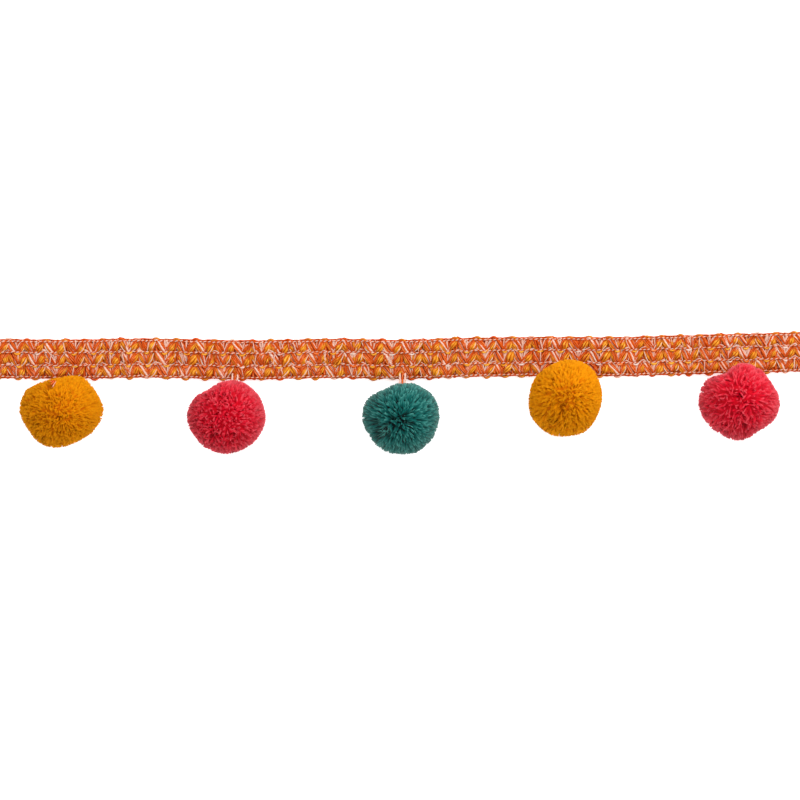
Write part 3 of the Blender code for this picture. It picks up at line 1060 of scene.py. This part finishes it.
def evenDirections(count, uneven):
    # Height in equal steps from pole to pole, azimuth by the golden angle, each then nudged
    step = np.arange(count) + 0.5
    z = 1 - 2 * step / count
    turn = step * math.pi * (3 - math.sqrt(5))
    level = np.sqrt(1 - z * z)
    even = np.stack([level * np.cos(turn), level * np.sin(turn), z], 1)
    return unit(even + uneven * rng.normal(size=(count, 3)))


def sideReach(look, direction):
    # The twelve reaches joined by a closed curve through them all: between b and c, with a and d
    # beyond them, b + t/2 (c - a + t (2a - 5b + 4c - d + t (3b - 3c + d - a)))
    reaches = np.array(look["reach"])
    turn = np.arctan2(direction[:, 1], direction[:, 0]) / (2 * math.pi) % 1 * len(reaches)
    t = turn - np.floor(turn)
    start = np.floor(turn).astype(int)
    a, b, c, d = (reaches[(start + step) % len(reaches)] for step in (-1, 0, 1, 2))
    return b + t / 2 * (c - a + t * (2 * a - 5 * b + 4 * c - d + t * (3 * b - 3 * c + d - a)))


def tipReach(look, direction):  # an ellipsoid whose level outline is the curve of sideReach
    level = np.hypot(direction[:, 0], direction[:, 1])
    return 1 / np.sqrt((level / sideReach(look, direction)) ** 2 + (direction[:, 2] / pompom["reachUp"]) ** 2)


def roomAlong(look, direction, length):
    # How far an end may run before it meets the surface, or the band's top or side
    x, y = look["at"]
    down = np.maximum(-direction[:, 2], 1e-6)
    room = np.where(direction[:, 2] < 0, (pompom["centreHeight"] - pompom["restGap"]) / down, np.inf)
    edge = lowerEdge(x + direction[:, 0] * length) - pompom["clearance"] - y
    toTop = (pompom["centreHeight"] - bandHigh[2] - pompom["clearance"]) / down
    toSide = np.where(direction[:, 1] > 0, edge / np.maximum(direction[:, 1], 1e-6), np.inf)
    return np.minimum(room, np.where(direction[:, 2] < 0, np.maximum(toTop, toSide), np.inf))


def nearest(directions, centres):
    found = [np.argmax(block @ centres.T, 1) for block in np.array_split(directions, 8)]
    return np.concatenate(found)


def patches(directions, seed):  # -1 to 1, a few broad patches over the ball
    draw = np.random.default_rng(seed)
    return sum(np.sin(directions @ draw.normal(0, 3.2, 3) + draw.uniform(0, 6.28)) for _ in range(4)) / 2.2


def openings(look, flat):
    # How open the gaps of the pile are at places seen from above, 0 to 1, and how far the ends
    # there lean aside: depth = 1 - distance from the gap's line / (2.2 * width)
    depth, aside = np.zeros(len(flat)), np.zeros_like(flat)
    for start, end, width in look["clefts"]:
        start, end = np.array(start), np.array(end)
        share = np.clip(((flat - start) @ (end - start)) / ((end - start) @ (end - start)), 0, 1)
        off = flat - start - share[:, None] * (end - start)
        near = np.clip(1 - np.linalg.norm(off, axis=1) / (2.2 * width), 0, 1)
        depth = np.maximum(depth, near)
        aside += unit(off) * near[:, None] * width
    return depth, aside


def partedRoots(look, tips):
    # Directions of the strands' roots, closer to the parting than the tips by the share
    # lean * exp(-(angle / 1.15)^2) of their angle from it; the angles are given too
    partX, partY, lean = look["part"]
    axis = unit(np.array([partX, partY, pompom["partHeight"]]))
    cosine = np.clip(tips @ axis, -1, 1)
    angle = np.arccos(cosine)
    away = unit(tips - cosine[:, None] * axis)
    rootAngle = angle * (1 - lean * np.exp(-(angle / 1.15) ** 2))
    return axis * np.cos(rootAngle)[:, None] + away * np.sin(rootAngle)[:, None], angle


def growPile(look, count, radius, longer, seed):
    # Each strand is a spindle, place = root + (straight - root) * s + (bent - straight) * s^2 with
    # s from 0 to 1. Tips are even over the ball; roots crowd towards the parting, so that the
    # strands round it lean outwards; tips of one yarn end draw together and bend over together.
    tips = evenDirections(count, 0.016)
    area = 4 * math.pi * pompom["meanReach"] ** 2
    tufts = evenDirections(round(area / look["tuft"] ** 2), 0.045)
    own = nearest(tips, tufts)
    tuftTone = rng.uniform(0, 1, len(tufts))
    calm = 0.25 + 0.75 * np.abs(tufts[:, 2])  # round the level rim the ends are more even
    tuftLong = look["uneven"] * rng.normal(size=len(tufts)) * calm
    tuftLean = look["tangle"] * rng.normal(size=(len(tufts), 3))
    aside = np.linalg.norm(tips - tufts[own], axis=1) * pompom["meanReach"] / (0.6 * look["tuft"])
    coarse = 1 + pompom["coarse"] * (tips @ unit(np.array(pompom["coarseSide"])))
    gather = look["gather"] * rng.uniform(0.7, 1.1, count) * (0.85 + 0.3 * patches(tips, seed)) * coarse
    straight = unit(tips * (1 - gather[:, None]) + tufts[own] * gather[:, None])
    bent = unit(straight + tuftLean[own] * (coarse * calm[own] ** 0.5)[:, None])

    # Length of each strand: the ball's own, its yarn end's and its own unevenness, shorter on the
    # outside of an end, at the parting and in the gaps
    root, angle = partedRoots(look, tips)
    full = tipReach(look, bent) * (1 + 0.012 * patches(bent * 2.5, seed + 2))
    uneven = tuftLong[own] * (1 + 0.5 * patches(tips, seed + 1))
    long = full + uneven + rng.normal(0, 0.05, count) + longer
    long -= look["dome"] * np.minimum(aside, 1.4) ** 2 * calm[own]
    long -= (0.2 + 0.8 * look["part"][2]) * np.exp(-(angle / 0.075) ** 2)
    depth, push = openings(look, bent[:, :2] * long[:, None])
    upper = smooth(0.15, 0.4, bent[:, 2])
    bent[:, :2] += push * upper[:, None] * 0.06
    long -= pompom["cleftDepth"] * smooth(0.25, 0.5, depth) * upper
    bent = unit(bent)
    room = roomAlong(look, bent, long)
    foot = full * pompom["rootShare"]
    kept = room > foot + 0.5
    long = np.minimum(long, room)[kept, None, None]
    root, straight, bent, foot = root[kept], straight[kept], bent[kept], foot[kept]

    number = len(foot)
    share = np.ones((number, 4, 1)) * np.array([0, *pompom["rings"], 1])[:, None]
    share[:, 2] += rng.uniform(-0.05, 0.05, (number, 1))
    start = (root * foot[:, None])[:, None]
    straight, bent = straight[:, None] * long, bent[:, None] * long
    path = start + (straight - start) * share + (bent - straight) * share ** 2
    path = path + np.array([*look["at"], pompom["centreHeight"]])
    path[..., 2] = np.maximum(path[..., 2], pompom["lowest"])
    thick = radius * rng.uniform(0.8, 1.2, (number, 1)) * np.array(pompom["ringSizes"])
    # tone: random for each yarn end and hair, lower at the outer hairs of each end and in the gaps as painted
    # shade
    tone = 0.5 * tuftTone[own] + 0.3 * (1.2 - aside) + rng.uniform(0, 0.3, count)
    tone = (np.clip(tone, 0, 1) - 1.2 * smooth(0.2, 0.45, depth) * upper)[kept]  # darker in the gaps
    guide = unit(rng.normal(size=(number, 1, 3)))
    return tubes(
        path[:, 1:3] * mm, thick * mm, 3, guide=guide, tone=tone, depth=pompom["rings"],
        ends=path[:, [0, 3]] * mm)


def pileCore(look):
    # The dense middle of the pile, the tips' own shape drawn in and a little lumpy
    core = ball(31, 60)
    direction = core["points"]
    lumps = 1 + 0.012 * patches(direction * 3, 5) + 0.012 * patches(direction * 6, 6)
    reach = tipReach(look, direction)
    depth = openings(look, direction[:, :2] * reach[:, None])[0] * smooth(0.15, 0.4, direction[:, 2])
    reach = np.minimum(reach * lumps * pompom["coreShare"], roomAlong(look, direction, reach) - 0.3)
    reach -= pompom["coreCleft"] * smooth(0.2, 0.5, depth)
    core["points"] = (direction * reach[:, None] + np.array([*look["at"], pompom["centreHeight"]])) * mm
    # the core takes the root colour: painted shade, seen between the strands
    core["depth"] = core["depth"] + 0.1
    core["tone"] = core["tone"] + 0.5
    return core


def pileOf(name, look, seed):
    middle = np.array([*look["at"], pompom["centreHeight"]]) * mm
    strands = round(pompom["strands"] * (1))
    thick = pompom["thick"] * math.sqrt(pompom["strands"] / strands)
    parts = [
        growPile(look, strands, thick, 0.0, seed),
        pileCore(look),
        growPile(look, pompom["fuzz"], pompom["fuzzThick"], pompom["fuzzLonger"], seed),
    ]
    return addPiece(
        "pile_" + name, parts, materials[look["yarn"]], ["pompom_" + name],
        (middle, pileLooks[look["yarn"]]["soften"]))


print("pompoms")
for yarn in pileLooks:
    materials[yarn] = pileFinish(yarn)
for number, (name, look) in enumerate(pompoms.items()):
    pileOf(name, look, 20 + 2 * number)
    look["yarn"] + "_yarn"


# Ties: two or three thin threads laid side by side, out of the band and into the pompom's core

ties = {
    "radius": 0.43,
    "tailRadius": 0.3,
    "apart": 0.95,
    "from": 2.4,           # how far in from the band's edge the threads begin, if tieFrom doesn't say
    "threads": {
        "mustard_left": ("pale", "blush"),
        "pink_left": ("pale", "coral", "pale"),
        "teal": ("pale", "coral", "pale"),
        "mustard_right": ("coral", "pale"),
        "pink_right": ("coral", "pale"),
    },
    "tails": {             # loose ends that lie up over a pompom: yarn, and its end from the middle
        "mustard_left": (("blush", -1.9, 9.6), ("coral", -2.7, 10.5), ("coral", -3.4, 11.6)),
    },
}


def bezier(radius, *places):  # s^3, 3ts^2, 3t^2s and t^3 of the four places, s = 1 - t
    t = np.linspace(0, 1, 15)[:, None]
    weights = ((1 - t) ** 3, 3 * t * (1 - t) ** 2, 3 * t ** 2 * (1 - t), t ** 3)
    path = sum(weight * place for weight, place in zip(weights, places))
    return tubes(path[None] * mm, np.full((1, 15), radius * mm), 6, tone=0.6)


def tieThread(name, order, several):
    # From the band's lower tier over its edge and up into the pompom
    look = pompoms[name]
    x, y = look["at"]
    tieX = look["tieX"]
    edge = float(lowerEdge(tieX))
    aside = (order - (several - 1) / 2) * ties["apart"]
    middle = np.array([x, y, pompom["centreHeight"]])
    toBand = unit(np.array([tieX - x, edge - y, 2.0 - pompom["centreHeight"]]))
    return bezier(
        ties["radius"],
        np.array([tieX + aside * 1.1, edge + look.get("tieFrom", ties["from"]), 2.0]),
        np.array([tieX + aside, edge - 1.2, 2.6]),
        middle + toBand * 13.5 + np.array([aside * 0.9, 0, 0]),
        middle + toBand * 9.0 + np.array([aside * 0.5, 0, 0]),
    )


def tieTail(name, endX, endY):
    # From the band's edge up through the gap in the pompom's side and out at its top
    look = pompoms[name]
    x, y = look["at"]
    side = sideReach(look, np.array([[endX, endY, 0.0]]))[0]
    level = math.hypot(endX, endY) / side
    height = pompom["centreHeight"] + pompom["reachUp"] * math.sqrt(1 - level ** 2)
    foot = look["tieX"] + 0.3 * (endX + 2)
    edge = float(lowerEdge(foot))
    beside = y + side
    return bezier(
        ties["tailRadius"],
        np.array([foot, edge + 0.4, 1.2]),
        np.array([foot, beside - 0.4, 9.0]),
        np.array([x + 0.7 * endX, beside - 1.6, 19.5]),
        np.array([x + endX, y + endY, height - 0.3]),
    )


def addTies(title, yarns, made, replaced):
    colours = {}
    for yarn, part in zip(yarns, made):
        colours.setdefault(yarn, []).append(part)
    for yarn, parts in colours.items():
        addPiece(title + "_" + yarn, parts, materials[yarn + "Yarn"], replaced)


print("ties")
for name, yarns in ties["threads"].items():
    made = [tieThread(name, order, len(yarns)) for order in range(len(yarns))]
    addTies("tie_" + name, yarns, made, ["tie_" + name])
for name, tails in ties["tails"].items():
    made = [tieTail(name, x, y) for yarn, x, y in tails]
    addTies("tie_tail_" + name, [tail[0] for tail in tails], made, [])


# Stage

studio = {
    "cameraOver": (-0.39, -2.86),
    "cameraHeight": 1200,
    "viewWide": 312,       # what the picture takes in at viewAt above the surface
    "viewAt": 8,
    "sky": 0.84,
    "lights": {            # soft boxes: strength in watts, place and width in metres
        "key": (36.0, (1.3, 1.36, 1.86), 1.5),
        "fill": (6.4, (-0.9, 1.6, 1.4), 1.5),
    },
    "floor": (0.93, 0.93, 0.93),
    "glow": 0.6,           # the floor's own light, as on a light table, which keeps shadows faint
}


def lookingAt(light, target):
    aim = Vector(target) - light.location
    light.rotation_euler = aim.to_track_quat("-Z", "Y").to_euler()


def setStage():
    scene = bpy.context.scene
    scene.view_settings.view_transform = "Standard"
    camera = bpy.data.objects.new("camera", bpy.data.cameras.new("camera"))
    x, y = studio["cameraOver"]
    camera.location = (x * mm, y * mm, studio["cameraHeight"] * mm)
    distance = studio["cameraHeight"] - studio["viewAt"]
    camera.data.lens = camera.data.sensor_width * distance / studio["viewWide"]
    camera.data.clip_end = 20
    scene.collection.objects.link(camera)
    scene.camera = camera

    for name, (strength, place, wide) in studio["lights"].items():
        light = bpy.data.objects.new(name, bpy.data.lights.new(name, "AREA"))
        light.data.size = wide
        light.data.energy = strength
        light.location = place
        lookingAt(light, (0, 0, 0))
        scene.collection.objects.link(light)

    world = bpy.data.worlds.new("studio")
    world.use_nodes = True
    world.node_tree.nodes["Background"].inputs["Color"].default_value = (1, 1, 1, 1)
    world.node_tree.nodes["Background"].inputs["Strength"].default_value = studio["sky"]
    scene.world = world

    kit = Finish("floor", {
        "Base Color": (*studio["floor"], 1),
        "Roughness": 0.9,
        "Emission Color": (1, 1, 1, 1),
        "Emission Strength": studio["glow"],
    })
    mesh = bpy.data.meshes.new("floor")
    corners = [(-3, -3, 0), (3, -3, 0), (3, 3, 0), (-3, 3, 0)]
    mesh.from_pydata(corners, [], [(0, 1, 2, 3)])
    mesh.materials.append(kit.material)
    floor = bpy.data.objects.new("floor", mesh)
    scene.collection.objects.link(floor)


print("stage")
setStage()
